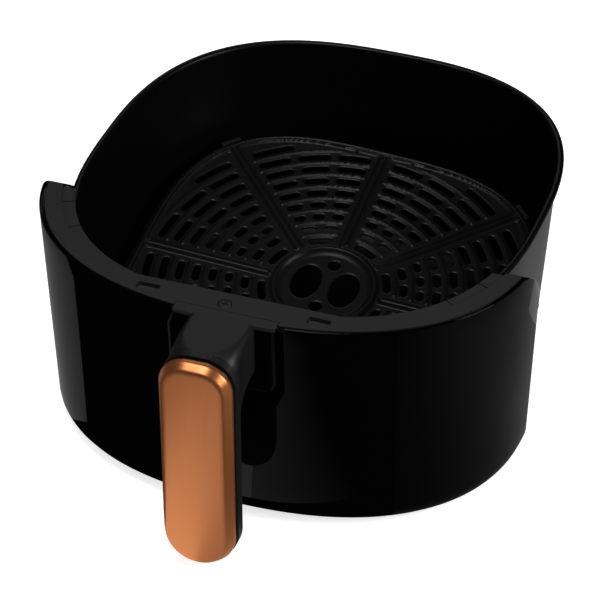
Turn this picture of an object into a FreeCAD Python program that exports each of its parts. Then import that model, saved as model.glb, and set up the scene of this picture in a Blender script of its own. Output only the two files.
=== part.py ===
import FreeCAD, Part
import math
import os

import Sketcher

from FreeCAD import Placement, Rotation, Vector

# Pull-out drawer of a basket air fryer: a deep non-stick pan, a gloss front shell
# with a matt collar, a bolted-on handle and a perforated crisper plate that lifts out.
# Frame: origin under the middle of the pan on the resting plane, +Z up,
# the handle points along -Y. Sizes are in millimetres.

doc = FreeCAD.newDocument("air_fryer_drawer")
sheet = doc.addObject("Spreadsheet::Sheet", "Sizes")

SIZES = {
    # pan
    "pan_half_x": 129.4, "pan_half_y": 136.2, "pan_exp": 2.66, "pan_top": 129.6,
    "pan_draft": 0.073, "pan_wall": 1.5, "pan_base_round": 20.0,
    "bead_wide": 4.6, "bead_high": 4.4, "bead_top": 131.4, "bead_round": 1.9,
    # front shell
    "shell_half_x": 143.0, "shell_half_y": 114.2, "shell_exp": 2.32, "shell_mid_y": -40.1,
    "shell_top": 137.6, "shell_draft": 0.04, "shell_wall": 2.6, "shell_base_round": 13.0,
    "shell_end_y": -38.0, "shell_corner": 32.0, "shell_corner_exp": 1.45, "fit_gap": 0.4,
    # collar
    "collar_over": 0.4, "collar_front_y": -131.5, "ledge_wide": 7.0, "ledge_drop": 1.6,
    "collar_end_y": -65.5, "collar_skirt": 16.0, "skirt_wall": 1.8,
    "notch_x": 48.5, "notch_y": -136.8, "notch_long": 13.0, "notch_wide": 6.0,
    "seam_wide": 0.8,
    # handle
    "mount_wide": 58.0, "mount_high": 44.0, "mount_flap": 7.0, "mount_proud": 0.9,
    "mount_wall": 2.4, "mount_round": 7.0, "neck_wide": 36.0, "neck_high": 30.0,
    "neck_edge": 3.0, "neck_drop": 18.0,
    "grip_wide": 41.9, "grip_top": 139.0, "grip_low": 3.0, "grip_corner": 16.5,
    "grip_back_y": -181.9, "grip_front_y": -191.4, "grip_edge": 4.0,
    "ring_thick": 1.5, "ring_inset": 1.3, "ring_gap": 0.3,
    "cover_inset": 0.5, "cover_deep": 8.0, "cover_bevel": 2.8, "cover_rise": 5.0,
    "core_wide": 18.0, "core_thick": 3.0, "core_low": 38.0, "core_z": 118.0, "core_y": -188.1,
    # bracket and fixings
    "bracket_wide": 64.0, "bracket_high": 46.0, "bracket_thick": 2.0,
    "rivet_r": 3.4, "rivet_head": 1.6, "screw_r": 2.0, "screw_head_r": 3.6,
    "screw_head": 2.2, "collar_screw_x": -4.0, "collar_screw_y": -141.0,
    # crisper plate
    "plate_half": 117.0, "plate_exp": 3.05, "plate_thick": 1.4, "pitch": 9.8,
    "first_row": 4.23, "ridge_gap": 0.7, "slot_wide": 4.4, "hub_hole_wide": 8.7,
    "hub_hole_long": 13.4, "hub_small_r": 3.8, "hub_hole_x": 11.6, "hub_small_y": 16.6,
    "hub_mid_y": 1.5, "hub_ring_r": 29.5, "border_in": 6.0,
    "plate_x": 2.6, "plate_y": 0.0, "plate_z": 51.4, "plate_pitch": 11.4,
    "plate_roll": 3.0, "lip_high": 4.0,
    "bumper_long": 12.0, "bumper_wide": 5.0, "bumper_high": 8.5, "bumper_out": 0.6,
}
for row, (alias, value) in enumerate(SIZES.items(), start=1):
    sheet.set("A%d" % row, alias)
    sheet.set("B%d" % row, str(value))
    sheet.setAlias("B%d" % row, alias)
doc.recompute()


def size(alias):
    """One driving dimension, read back from the sheet."""
    return float(sheet.get(alias))


parts = []


def keep(obj, label):
    """Name an object as one of the drawer's pieces."""
    obj.Label = label
    parts.append(obj)
    return obj


def feature(label, shape, placement=None):
    """Store a shape as a piece, with its own placement."""
    obj = doc.addObject("Part::Feature", label)
    obj.Shape = shape
    obj.Placement = placement or Placement()
    return keep(obj, label)


# ---------------------------------------------------------------- shape helpers
def squircle(half_x, half_y, power, mid_y, z, count=64):
    """Closed superellipse wire at height z."""
    points = []
    for step in range(count):
        turn = 2.0 * math.pi * step / count
        cos_t = math.cos(turn)
        sin_t = math.sin(turn)
        reach = (abs(cos_t) ** power + abs(sin_t) ** power) ** (-1.0 / power)
        points.append(Vector(half_x * reach * cos_t, mid_y + half_y * reach * sin_t, z))
    curve = Part.BSplineCurve()
    curve.interpolate(Points=points, PeriodicFlag=True)
    return Part.Wire([curve.toShape()])


def squircle_prism(half_x, half_y, power, mid_y, low, high):
    """Straight prism on a superellipse."""
    face = Part.Face(squircle(half_x, half_y, power, mid_y, low))
    return face.extrude(Vector(0, 0, high - low))


def box(x0, x1, y0, y1, z0, z1):
    return Part.makeBox(x1 - x0, y1 - y0, z1 - z0, Vector(x0, y0, z0))


def tub(half_x, half_y, power, mid_y, draft, low, high, ref, base_round):
    """Drafted superellipse block with a rounded base edge; ref is where the halves apply."""
    sections = []
    steps = 6
    for step in range(steps + 1):
        turn = 0.5 * math.pi * step / steps
        z = low + base_round * (1.0 - math.cos(turn))
        inset = base_round * (1.0 - math.sin(turn)) + draft * (ref - z)
        sections.append(squircle(half_x - inset, half_y - inset, power, mid_y, z))
    lower = Part.makeLoft(sections, True, False)
    z = low + base_round
    walls = [squircle(half_x - draft * (ref - k), half_y - draft * (ref - k), power, mid_y, k)
             for k in (z, high)]
    upper = Part.makeLoft(walls, True, True)
    return lower.fuse(upper).removeSplitter()


def pan_block(grow, low, high):
    """The pan's outside, grown outward by a clearance."""
    return tub(size("pan_half_x") + grow, size("pan_half_y") + grow, size("pan_exp"), 0.0,
               size("pan_draft"), low, high, size("pan_top"), size("pan_base_round") + grow)


def shell_block(grow, low, high):
    """The front shell's outside, grown outward (negative: inward)."""
    return tub(size("shell_half_x") + grow, size("shell_half_y") + grow, size("shell_exp"),
               size("shell_mid_y"), size("shell_draft"), low, high, size("shell_top"),
               size("shell_base_round") + min(grow, 0.0))


def round_prism(x0, x1, y0, y1, z0, z1, radius, axis):
    """Box with the four edges along one axis rounded."""
    solid = box(x0, x1, y0, y1, z0, z1)
    edges = []
    for edge in solid.Edges:
        run = edge.Vertexes[1].Point - edge.Vertexes[0].Point
        if abs(run.normalize().dot(axis)) > 0.99:
            edges.append(edge)
    return solid.makeFillet(radius, edges)


# ---------------------------------------------------------------- pan
def bead_block(side, start, mid_r):
    """Half of the rolled bead: a stack of outlines that bulge to one side of the wall."""
    radius = 0.5 * size("bead_high")
    middle = size("bead_top") - radius
    steps = 8
    sections = []
    for step in range(steps + 1):
        turn = math.pi * step / steps - 0.5 * math.pi
        bulge = start + mid_r * math.cos(turn)
        z = middle + radius * math.sin(turn)
        sections.append(squircle(size("pan_half_x") + side * bulge,
                                 size("pan_half_y") + side * bulge, size("pan_exp"), 0.0, z))
    return Part.makeLoft(sections, True, False)


def make_pan():
    wall = size("pan_wall")
    low = size("bead_top") - size("bead_high")
    outer = pan_block(0.0, 0.0, low).fuse(bead_block(1, -0.4, 3.0))
    inner = pan_block(-wall, wall, low)
    mouth = squircle_prism(size("pan_half_x") - wall - 0.2, size("pan_half_y") - wall - 0.2,
                           size("pan_exp"), 0.0, low - 0.01, size("bead_top") + 1.0)
    feature("pan", outer.cut(inner).cut(mouth))


# ---------------------------------------------------------------- front shell
def end_profile(inset):
    """Side view of the shell's reach: its ends fall away in a soft curve at the top."""
    radius = size("shell_corner") - inset
    back = size("shell_end_y") - inset
    top = size("shell_top") - inset
    power = 2.0 / size("shell_corner_exp")
    curve_points = []
    steps = 12
    for step in range(steps + 1):
        turn = 0.5 * math.pi * step / steps
        curve_points.append(Vector(0, back - radius * (1 - math.cos(turn) ** power),
                                   top - radius * (1 - math.sin(turn) ** power)))
    curve = Part.BSplineCurve()
    curve.interpolate(Points=curve_points)
    low = Vector(0, back, -10)
    far_low = Vector(0, -260, -10)
    far_top = Vector(0, -260, top)
    edges = [Part.makeLine(far_low, low), Part.makeLine(low, curve_points[0]), curve.toShape(),
             Part.makeLine(curve_points[-1], far_top), Part.makeLine(far_top, far_low)]
    face = Part.Face(Part.Wire(edges))
    face.translate(Vector(-260, 0, 0))
    return face.extrude(Vector(520, 0, 0))


def shell_inner_prism(inset, low, high):
    """Straight prism that follows the inside of the shell's top edge."""
    step = size("shell_wall") + size("fit_gap") + inset
    return squircle_prism(size("shell_half_x") - step, size("shell_half_y") - step,
                          size("shell_exp"), size("shell_mid_y"), low, high)


def make_shell():
    wall = size("shell_wall")
    top = size("shell_top")
    outer = shell_block(0.0, 0.0, top).common(end_profile(0.0))
    inner = shell_block(-wall, wall, top + 1.0)
    hollow = inner.common(end_profile(wall))
    open_top = inner.common(box(-260, 260, -260, size("shell_end_y") - size("shell_corner"),
                                top - size("shell_corner"), top + 5))
    body = outer.cut(hollow).cut(open_top)
    body = body.cut(pan_block(1.0, -2.0, top + 5))
    rim = size("bead_wide") - 2.0 + 1.0
    body = body.cut(squircle_prism(size("pan_half_x") + rim, size("pan_half_y") + rim,
                                   size("pan_exp"), 0.0, size("bead_top") - 5.4, top + 5))
    gap = size("fit_gap")
    half = 0.5 * size("mount_wide") + gap
    slot = round_prism(-half, half, -170, -130, top - size("mount_high") - gap, top + 20,
                       size("mount_round") + gap, Vector(0, 1, 0))
    seat = shell_inner_prism(-gap, size("bead_top") + 0.5 - gap, top + 5)
    seat = seat.common(box(-260, 260, -260, size("collar_end_y") + gap, 0, 200))
    feature("front_shell", body.cut(slot).cut(seat))


# ---------------------------------------------------------------- collar
def pan_prism(inset, low, high):
    """Straight prism that follows the pan's rim, moved inward by inset."""
    return squircle_prism(size("pan_half_x") - inset, size("pan_half_y") - inset,
                          size("pan_exp"), 0.0, low, high)


def ledge_seam(side, y, top):
    """Cutter for one shallow groove across the collar's inner ledge."""
    power = size("pan_exp")
    x = size("pan_half_x") * (1.0 - abs(y / size("pan_half_y")) ** power) ** (1.0 / power)
    normal = Vector((x / size("pan_half_x")) ** (power - 1) / size("pan_half_x"),
                    -(abs(y) / size("pan_half_y")) ** (power - 1) / size("pan_half_y"), 0)
    turn = math.degrees(math.atan2(normal.y, normal.x))
    half = 0.5 * size("seam_wide")
    cutter = box(-1.5, size("ledge_wide"), -half, half, top - size("ledge_drop") - 0.7, top + 2)
    cutter.rotate(Vector(0, 0, 0), Vector(0, 0, 1), turn)
    cutter.translate(Vector(x, y, 0))
    if side < 0:
        cutter = cutter.mirror(Vector(0, 0, 0), Vector(1, 0, 0))
    return cutter


def make_collar():
    """Crescent that bridges from the shell's top edge over the pan's bead."""
    gap = size("fit_gap")
    top = size("shell_top") - 0.2
    low = size("bead_top") + 0.5
    end = size("collar_end_y")
    inset = size("collar_over")
    front = box(-260, 260, size("collar_front_y"), 260, low - 5, top + 5)
    plate = shell_inner_prism(0.0, low, top)
    plate = plate.common(box(-260, 260, -260, end, low - 1, top + 1))
    plate = plate.cut(pan_prism(inset, low - 2, top + 2).common(front))
    ledge = pan_prism(inset - size("ledge_wide"), top - size("ledge_drop"), top + 2)
    plate = plate.cut(ledge.common(front))
    # a skirt hangs between the bead and the shell
    skirt = shell_inner_prism(0.3, top - size("collar_skirt"), low + 0.6)
    skirt = skirt.cut(shell_inner_prism(0.3 + size("skirt_wall"), top - size("collar_skirt") - 1,
                                        low + 2))
    skirt = skirt.common(box(-260, 260, -260, end - 6, 90, top))
    body = plate.fuse(skirt)
    # slot for the handle mount and the two latch notches
    half = 0.5 * size("mount_wide") + gap
    slot_back = size("shell_mid_y") - size("shell_half_y") + size("mount_flap") + gap
    body = body.cut(box(-half, half, -170, slot_back, 90, top + 5))
    for side in (-1, 1):
        mid = side * size("notch_x")
        body = body.cut(round_prism(
            mid - 0.5 * size("notch_long"), mid + 0.5 * size("notch_long"),
            size("notch_y") - size("notch_wide"), size("notch_y"), low + 1.6, top + 5, 1.2,
            Vector(0, 0, 1)))
    for side in (-1, 1):
        for y in (-77.0, -97.5):
            body = body.cut(ledge_seam(side, y, top))
    spot = Vector(size("collar_screw_x"), size("collar_screw_y"), low - 5)
    hole = Part.makeCylinder(size("screw_r") + 0.3, 20, spot)
    spot.z = top - size("screw_head")
    sink = Part.makeCylinder(size("screw_head_r") + 0.4, 20, spot)
    feature("collar", body.cut(hole).cut(sink))


# ---------------------------------------------------------------- handle
def strap(extra):
    """Steel strap from the pan's bracket through the neck and down inside the grip."""
    half = 0.5 * size("core_wide") + extra
    level = size("core_z")
    thick = size("core_thick")
    drop_y = size("core_y")
    run = box(-half, half, drop_y - extra, -140.6 + extra, level - extra, level + thick + extra)
    drop = box(-half, half, drop_y - extra, drop_y + thick + extra, size("core_low") - extra,
               level + thick + extra)
    heel = box(-half, half, -140.6 - thick - extra, -140.6 + extra, level - 20.0 - extra,
               level + thick + extra)
    return run.fuse(drop).fuse(heel).removeSplitter()


def make_mount():
    """Cover plate in the shell's slot, with a flap that turns in over the collar."""
    half = 0.5 * size("mount_wide")
    top = size("shell_top")
    proud = size("mount_proud")
    plate = shell_block(proud, 40.0, top).cut(
        shell_block(proud - size("mount_wall"), 38.0, top + 2.0))
    window = round_prism(-half, half, -170, -130, top - size("mount_high"),
                         top + 1 + size("mount_round"), size("mount_round"), Vector(0, 1, 0))
    plate = plate.common(window).common(box(-half, half, -170, -130, 40, top))
    flap_back = size("shell_mid_y") - size("shell_half_y") + size("mount_flap")
    flap = box(-half, half, -153.5, flap_back, top - 3.0, top)
    flap = flap.common(shell_block(proud, 40.0, top))
    body = plate.fuse(flap).cut(strap(0.4))
    for x, z in mount_holes():
        body = body.cut(Part.makeCylinder(size("screw_r") + 0.3, 30, Vector(x, -130, z),
                                          Vector(0, -1, 0)))
    feature("handle_mount_plate", body)


def mount_holes():
    """Centres (x, z) of the four screws that hold the handle body."""
    top = size("shell_top")
    return [(x, z) for x in (-14.0, 14.0) for z in (top - 8.5, top - 27.0)]


def grip_wire(inset, y):
    """Grip outline: squared top with rounded corners, fully round foot."""
    half = 0.5 * size("grip_wide") - inset
    top = size("grip_top") - inset
    corner = size("grip_corner") - inset
    foot = size("grip_low") + 0.5 * size("grip_wide")
    cut = math.sqrt(0.5)
    start = [Vector(-half, y, foot), Vector(-half, y, top - corner),
             Vector(-half + corner, y, top), Vector(half - corner, y, top),
             Vector(half, y, top - corner), Vector(half, y, foot)]
    left = Vector(-half + corner * (1 - cut), y, top - corner * (1 - cut))
    right = Vector(half - corner * (1 - cut), y, top - corner * (1 - cut))
    return Part.Wire([
        Part.makeLine(start[0], start[1]), Part.Arc(start[1], left, start[2]).toShape(),
        Part.makeLine(start[2], start[3]), Part.Arc(start[3], right, start[4]).toShape(),
        Part.makeLine(start[4], start[5]),
        Part.Arc(start[5], Vector(0, y, foot - half), start[0]).toShape()])


def neck_section(y, half, corner):
    """Cross-section of the neck: flat sides and a top with rounded corners."""
    top = size("grip_top")
    foot = top - size("neck_high") - size("neck_drop") - 10.0
    cut = math.sqrt(0.5)
    left = Vector(-half + corner * (1 - cut), y, top - corner * (1 - cut))
    right = Vector(half - corner * (1 - cut), y, top - corner * (1 - cut))
    ends = [Vector(-half, y, foot), Vector(-half, y, top - corner), Vector(-half + corner, y, top),
            Vector(half - corner, y, top), Vector(half, y, top - corner), Vector(half, y, foot)]
    return Part.Wire([
        Part.makeLine(ends[0], ends[1]), Part.Arc(ends[1], left, ends[2]).toShape(),
        Part.makeLine(ends[2], ends[3]), Part.Arc(ends[3], right, ends[4]).toShape(),
        Part.makeLine(ends[4], ends[5]), Part.makeLine(ends[5], ends[0])])


def neck_loft(start, stop):
    """The neck's corners open up from a small edge at the mount to the grip's round shoulders."""
    near = 0.5 * size("neck_wide")
    far = 0.5 * size("grip_wide") - 0.6
    sections = []
    for part in (0.0, 0.3, 0.5, 0.65, 0.75, 0.85, 0.93, 1.0):
        flare = part ** 4
        sections.append(neck_section(
            start + (stop - start) * part, near + (far - near) * flare,
            size("neck_edge") + (size("grip_corner") - 0.6 - size("neck_edge")) * flare))
    return Part.makeLoft(sections, True, True)


def make_handle_body():
    """One moulding: the neck that leaves the mount plate and the back of the grip."""
    top = size("grip_top")
    back = size("grip_back_y")
    front = size("grip_front_y")
    slab = Part.Face(grip_wire(0.0, back)).extrude(Vector(0, front - back, 0))
    rear = [edge for edge in slab.Edges
            if edge.BoundBox.YLength < 0.1 and abs(edge.BoundBox.YMax - back) < 0.1]
    slab = slab.makeFillet(size("grip_edge"), rear)
    base = size("shell_mid_y") - size("shell_half_y") - size("mount_proud") - 0.3
    low = top - size("neck_high")
    drop = size("neck_drop")
    outline = [(base, top + 5.0), (back - 4.5, top + 5.0), (back - 4.5, low - drop)]
    for step in range(9):
        turn = 0.5 * math.pi * step / 8
        outline.append((back + (base - back) * 0.999 * (1.0 - math.cos(turn)),
                        low - drop + drop * math.sin(turn)))
    outline.append((base, low))
    points = [Vector(-60, y, z) for y, z in outline]
    points.append(points[0])
    side_view = Part.Face(Part.makePolygon(points)).extrude(Vector(120, 0, 0))
    neck = neck_loft(base + 0.5, back - 5.0).common(side_view)
    body = slab.fuse(neck).cut(strap(0.4))
    for x, z in mount_holes():
        body = body.cut(Part.makeCylinder(size("screw_r") + 0.1, 12, Vector(x, base + 0.2, z),
                                          Vector(0, -1, 0)))
    feature("handle_body", body)


def slab_body(label, inset, back_alias, thick, offset):
    """PartDesign slab on the grip outline, bound to the sheet."""
    body = doc.addObject("PartDesign::Body", label)
    sketch = body.newObject("Sketcher::SketchObject", label + "_outline")
    plane = [item for item in body.Origin.OriginFeatures if item.Role == "XZ_Plane"][0]
    sketch.AttachmentSupport = [(plane, "")]
    sketch.MapMode = "FlatFace"
    half = 0.5 * size("grip_wide") - size(inset)
    top = size("grip_top") - size(inset)
    corner = size("grip_corner") - size(inset)
    foot = size("grip_low") + 0.5 * size("grip_wide")
    up = Vector(0, 0, 1)
    sketch.addGeometry(Part.LineSegment(Vector(-half, foot, 0), Vector(-half, top - corner, 0)))
    sketch.addGeometry(Part.ArcOfCircle(
        Part.Circle(Vector(-half + corner, top - corner, 0), up, corner), math.pi / 2, math.pi))
    sketch.addGeometry(Part.LineSegment(Vector(-half + corner, top, 0),
                                        Vector(half - corner, top, 0)))
    sketch.addGeometry(Part.ArcOfCircle(
        Part.Circle(Vector(half - corner, top - corner, 0), up, corner), 0, math.pi / 2))
    sketch.addGeometry(Part.LineSegment(Vector(half, top - corner, 0), Vector(half, foot, 0)))
    sketch.addGeometry(Part.ArcOfCircle(
        Part.Circle(Vector(0, foot, 0), up, half), math.pi, 2 * math.pi))
    rule = Sketcher.Constraint
    for item in (rule("Tangent", 0, 2, 1, 2), rule("Tangent", 1, 1, 2, 1),
                 rule("Tangent", 2, 2, 3, 2), rule("Tangent", 3, 1, 4, 1),
                 rule("Tangent", 4, 2, 5, 2), rule("Tangent", 5, 1, 0, 1),
                 rule("Vertical", 0), rule("PointOnObject", 5, 3, -2), rule("Equal", 1, 3)):
        sketch.addConstraint(item)
    driven = [("half", rule("Radius", 5, half), "Sizes.grip_wide / 2 - Sizes.%s" % inset),
              ("corner", rule("Radius", 1, corner), "Sizes.grip_corner - Sizes.%s" % inset),
              ("top", rule("DistanceY", -1, 1, 2, 1, top), "Sizes.grip_top - Sizes.%s" % inset),
              ("foot", rule("DistanceY", -1, 1, 5, 3, foot),
               "Sizes.grip_low + Sizes.grip_wide / 2")]
    for name, item, formula in driven:
        index = sketch.addConstraint(item)
        sketch.renameConstraint(index, name)
        sketch.setExpression("Constraints." + name, formula)
    sketch.setExpression("AttachmentOffset.Base.z", "%s - Sizes.%s" % (offset, back_alias))
    doc.recompute()
    pad = body.newObject("PartDesign::Pad", label + "_pad")
    pad.Profile = sketch
    pad.setExpression("Length", thick)
    doc.recompute()
    return body, pad


def front_face(shape):
    """Name of the flat face that looks along -Y at the front of a shape."""
    best = min(range(len(shape.Faces)), key=lambda i: shape.Faces[i].CenterOfMass.y)
    return "Face%d" % (best + 1)


def make_grip_front():
    """Trim ring and the bevelled metallic cover on the front of the grip."""
    ring, ring_pad = slab_body("grip_trim_ring", "ring_inset", "grip_front_y",
                               "Sizes.ring_thick", "Sizes.ring_gap")
    keep(ring, "grip_trim_ring")
    cover, cover_pad = slab_body("grip_cover", "cover_inset", "grip_front_y",
                                 "Sizes.cover_deep", "2 * Sizes.ring_gap + Sizes.ring_thick")
    bevel = cover.newObject("PartDesign::Chamfer", "grip_cover_bevel")
    bevel.Base = (cover_pad, [front_face(cover_pad.Shape)])
    bevel.ChamferType = "Two distances"
    bevel.setExpression("Size", "Sizes.cover_rise")
    bevel.setExpression("Size2", "Sizes.cover_bevel")
    doc.recompute()
    cover.Tip = bevel
    keep(cover, "grip_cover")


def screw(where, way, length):
    """Pan-head screw: head outside at where, shank along way."""
    head = Part.makeCylinder(size("screw_head_r"), size("screw_head"), where, way * -1)
    head = head.makeFillet(0.7, [head.Edges[0] if head.Edges[0].BoundBox.Center.sub(where).Length
                                 > 1 else head.Edges[2]])
    shank = Part.makeCylinder(size("screw_r"), length, where, way)
    cross = box(-2.2, 2.2, -0.35, 0.35, -1.0, 0.2).fuse(box(-0.35, 0.35, -2.2, 2.2, -1.0, 0.2))
    cross.Placement = Placement(where - way * size("screw_head"), Rotation(Vector(0, 0, -1), way))
    body = head.fuse(shank)
    cut = body.cut(cross)
    return cut if cut.isValid() and len(cut.Solids) == 1 else body


def pan_front(z, grow=0.0):
    """Y of the pan's outer front wall at height z."""
    return -(size("pan_half_y") + grow - size("pan_draft") * (size("pan_top") - z))


def make_bracket_and_fixings():
    half = 0.5 * size("bracket_wide")
    high = size("bead_top") - size("bead_high") - 1.5
    thick = size("bracket_thick")
    low = high - size("bracket_high")
    skin = pan_block(0.3 + thick, 0.0, high + 2).cut(pan_block(0.3, -2.0, high + 4))
    plate = skin.common(box(-half, half, -150, -100, low, high))
    spots = [(x, z) for x in (-26.0, 26.0) for z in (low + 8.0, high - 8.0)]
    rivets = []
    for x, z in spots:
        bore = Part.makeCylinder(size("rivet_r") * 0.6 + 0.1, 20, Vector(x, pan_front(z) + 1.0, z),
                                 Vector(0, -1, 0))
        plate = plate.cut(bore)
        start = pan_front(z) - 0.3 - thick - 0.2
        rivet = Part.makeCylinder(size("rivet_r"), size("rivet_head"), Vector(x, start, z),
                                  Vector(0, -1, 0))
        rivet = rivet.makeFillet(0.7, [rivet.Edges[0]])
        stem = Part.makeCylinder(size("rivet_r") * 0.6, thick + 0.9, Vector(x, start - 0.5, z),
                                 Vector(0, 1, 0))
        rivets.append(rivet.fuse(stem))
    core = strap(0.0)
    heel_y = -140.6 - size("core_thick")
    pins = []
    for x in (-5.0, 5.0):
        spot = Vector(x, heel_y - 0.1, size("core_z") - 12.0)
        bore = Part.makeCylinder(size("screw_r") + 0.2, 12, spot, Vector(0, 1, 0))
        core = core.cut(bore)
        plate = plate.cut(bore)
        pins.append(screw(spot, Vector(0, 1, 0), 6.6))
    feature("pan_bracket", plate)
    feature("bracket_rivets", Part.makeCompound(rivets))
    feature("bracket_screws", Part.makeCompound(pins))
    feature("handle_core", core)
    top = size("shell_top")
    wall_y = size("shell_mid_y") - size("shell_half_y") - size("mount_proud") + size("mount_wall")
    screws = [screw(Vector(x, wall_y + size("shell_draft") * (top - z) + 0.7, z),
                    Vector(0, -1, 0), 11.4) for x, z in mount_holes()]
    feature("handle_screws", Part.makeCompound(screws))
    spot = Vector(size("collar_screw_x"), size("collar_screw_y"), top - 0.2 - size("screw_head"))
    feature("collar_screw", screw(spot, Vector(0, 0, -1), 4.0))


# ---------------------------------------------------------------- latches
def make_latches():
    """Spring-steel striker plates that sit in the two notches of the collar."""
    low = size("bead_top") + 0.5
    floor = low + 1.6
    for side, word in ((-1, "left"), (1, "right")):
        mid = side * size("notch_x")
        feature("latch_striker_" + word, round_prism(
            mid - 0.5 * size("notch_long") + 0.3, mid + 0.5 * size("notch_long") - 0.3,
            size("notch_y") - size("notch_wide") + 0.3, size("notch_y") - 0.3,
            floor + 0.2, floor + 1.6, 0.9, Vector(0, 0, 1)))


# ---------------------------------------------------------------- crisper plate
def arc_slot(radius, start, stop, width, z):
    """Closed outline of a slot that follows an arc, with round ends."""
    half = 0.5 * width
    trim = half / radius
    a0 = start + trim
    a1 = stop - trim
    mid = 0.5 * (a0 + a1)

    def at(r, a):
        return Vector(r * math.cos(a), r * math.sin(a), z)

    def cap(a, sign):
        base = at(radius, a)
        return base + Vector(-math.sin(a), math.cos(a), 0) * half * sign

    return Part.Wire([
        Part.Arc(at(radius + half, a0), at(radius + half, mid), at(radius + half, a1)).toShape(),
        Part.Arc(at(radius + half, a1), cap(a1, 1), at(radius - half, a1)).toShape(),
        Part.Arc(at(radius - half, a1), at(radius - half, mid), at(radius - half, a0)).toShape(),
        Part.Arc(at(radius - half, a0), cap(a0, -1), at(radius + half, a0)).toShape()])


def plate_reach(angle, half):
    power = size("plate_exp")
    return half * (abs(math.cos(angle)) ** power + abs(math.sin(angle)) ** power) ** (-1.0 / power)


def row_slots(row, sector):
    """Start and stop angles of the slots of one row in one 45 degree sector."""
    pitch = size("pitch")
    radius = (size("first_row") + row - 0.5) * pitch
    a0 = sector * math.pi / 4
    a1 = a0 + math.pi / 4
    margin = 0.72 * pitch / radius
    gap = 0.42 * pitch / radius
    count = 1 if row == 0 else 2 if row == 1 else 3
    step = (a1 - a0 - 2 * margin - gap * (count - 1)) / count
    spans = []
    for index in range(count):
        start = a0 + margin + index * (step + gap)
        spans.append((start, start + step))
    if row == 8:
        corner = a1 if sector % 2 == 0 else a0
        sign = -1 if sector % 2 == 0 else 1
        ends = sorted((corner + sign * margin, corner + sign * (margin + 1.15 * step)))
        spans = [tuple(ends)]
    return radius, spans


def make_plate():
    """Perforated plate in its own flat frame; its placement sets it in the pan."""
    thick = size("plate_thick")
    pitch = size("pitch")
    half = size("plate_half")
    power = size("plate_exp")
    holes = []
    mid_y = size("hub_mid_y")
    for x in (-size("hub_hole_x"), size("hub_hole_x")):
        oval = Part.Ellipse(Vector(x, mid_y + size("hub_hole_long"), 0),
                            Vector(x + size("hub_hole_wide"), mid_y, 0), Vector(x, mid_y, 0))
        holes.append(Part.Wire([oval.toShape()]))
    for y in (mid_y - size("hub_small_y"), mid_y + size("hub_small_y")):
        holes.append(Part.Wire([Part.makeCircle(size("hub_small_r"), Vector(0, y, 0))]))
    for sector in range(8):
        for row in range(9):
            radius, spans = row_slots(row, sector)
            for start, stop in spans:
                limit = min(plate_reach(a, half) for a in (start, 0.5 * (start + stop), stop))
                if radius + 0.5 * size("slot_wide") < limit - size("border_in") - 1.6:
                    holes.append(arc_slot(radius, start, stop, size("slot_wide"), 0.0))
    face = Part.Face([squircle(half, half, power, 0.0, 0.0)] + holes)
    if not face.isValid():
        face.validate()
    body = face.extrude(Vector(0, 0, thick))
    lip = squircle_prism(half, half, power, 0.0, -size("lip_high"), 0.02).cut(
        squircle_prism(half - thick, half - thick, power, 0.0, -size("lip_high") - 1, 1.0))
    raised = []
    outside = half - size("border_in") + 1.2
    border = squircle_prism(outside, outside, power, 0.0, thick - 0.1, thick + 1.2).cut(
        squircle_prism(outside - 2.4, outside - 2.4, power, 0.0, thick - 1, thick + 2))
    raised.append(border)
    hub_r = size("hub_ring_r")
    raised.append(Part.makeCylinder(hub_r + 1.3, 1.3, Vector(0, 0, thick - 0.1)).cut(
        Part.makeCylinder(hub_r - 1.3, 3, Vector(0, 0, thick - 1))))
    for sector in range(8):
        spoke = sector * math.pi / 4
        far = plate_reach(spoke, half) - size("border_in") - 2.4
        for side in (-1, 1):
            ridge = round_prism(hub_r + 3.0, far, -0.6, 0.6, thick - 0.1, thick + 0.9, 0.4,
                                Vector(1, 0, 0))
            ridge.translate(Vector(0, side * 1.7, 0))
            ridge.rotate(Vector(0, 0, 0), Vector(0, 0, 1), math.degrees(spoke))
            raised.append(ridge)
        for row in range(8):
            radius = (size("first_row") + row) * pitch
            margin = size("ridge_gap") * pitch / radius
            side_on = spoke if sector % 2 == 0 else spoke + math.pi / 4
            mid_limit = plate_reach(side_on, half) - size("border_in") - 2.4
            if radius > mid_limit:
                continue
            wire = arc_slot(radius, spoke + margin, spoke + math.pi / 4 - margin, 1.3, thick - 0.1)
            raised.append(Part.Face(wire).extrude(Vector(0, 0, 0.8)))
    body = body.fuse(lip)
    body = body.fuse(raised)
    return body


def plate_placement():
    turn = Rotation(Vector(0, 1, 0), size("plate_roll")).multiply(
        Rotation(Vector(1, 0, 0), size("plate_pitch")))
    return Placement(Vector(size("plate_x"), size("plate_y"), size("plate_z")), turn)


def make_crisper():
    place = plate_placement()
    feature("crisper_plate", make_plate(), place)
    half = size("plate_half")
    reach = plate_reach(math.pi / 4, half)
    wide = size("bumper_wide")
    names = ("back_right", "back_left", "front_left", "front_right")
    for index, word in enumerate(names):
        block = round_prism(reach - wide + 1.6, reach + size("bumper_out"),
                            -0.5 * size("bumper_long"), 0.5 * size("bumper_long"),
                            -size("bumper_high") + 3.2, 3.2, 1.2, Vector(0, 1, 0))
        block.rotate(Vector(0, 0, 0), Vector(0, 0, 1), 45.0 + 90.0 * index)
        groove = squircle_prism(half + 0.3, half + 0.3, size("plate_exp"), 0.0,
                                -size("lip_high") - 0.3, size("plate_thick") + 0.25)
        inside = squircle_prism(half - 2.3, half - 2.3, size("plate_exp"), 0.0, -20, 20)
        feature("bumper_" + word, block.cut(groove).cut(inside), place)


make_pan()
make_shell()
make_collar()
make_mount()
make_handle_body()
make_grip_front()
make_bracket_and_fixings()
make_latches()
make_crisper()
doc.recompute()

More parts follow.
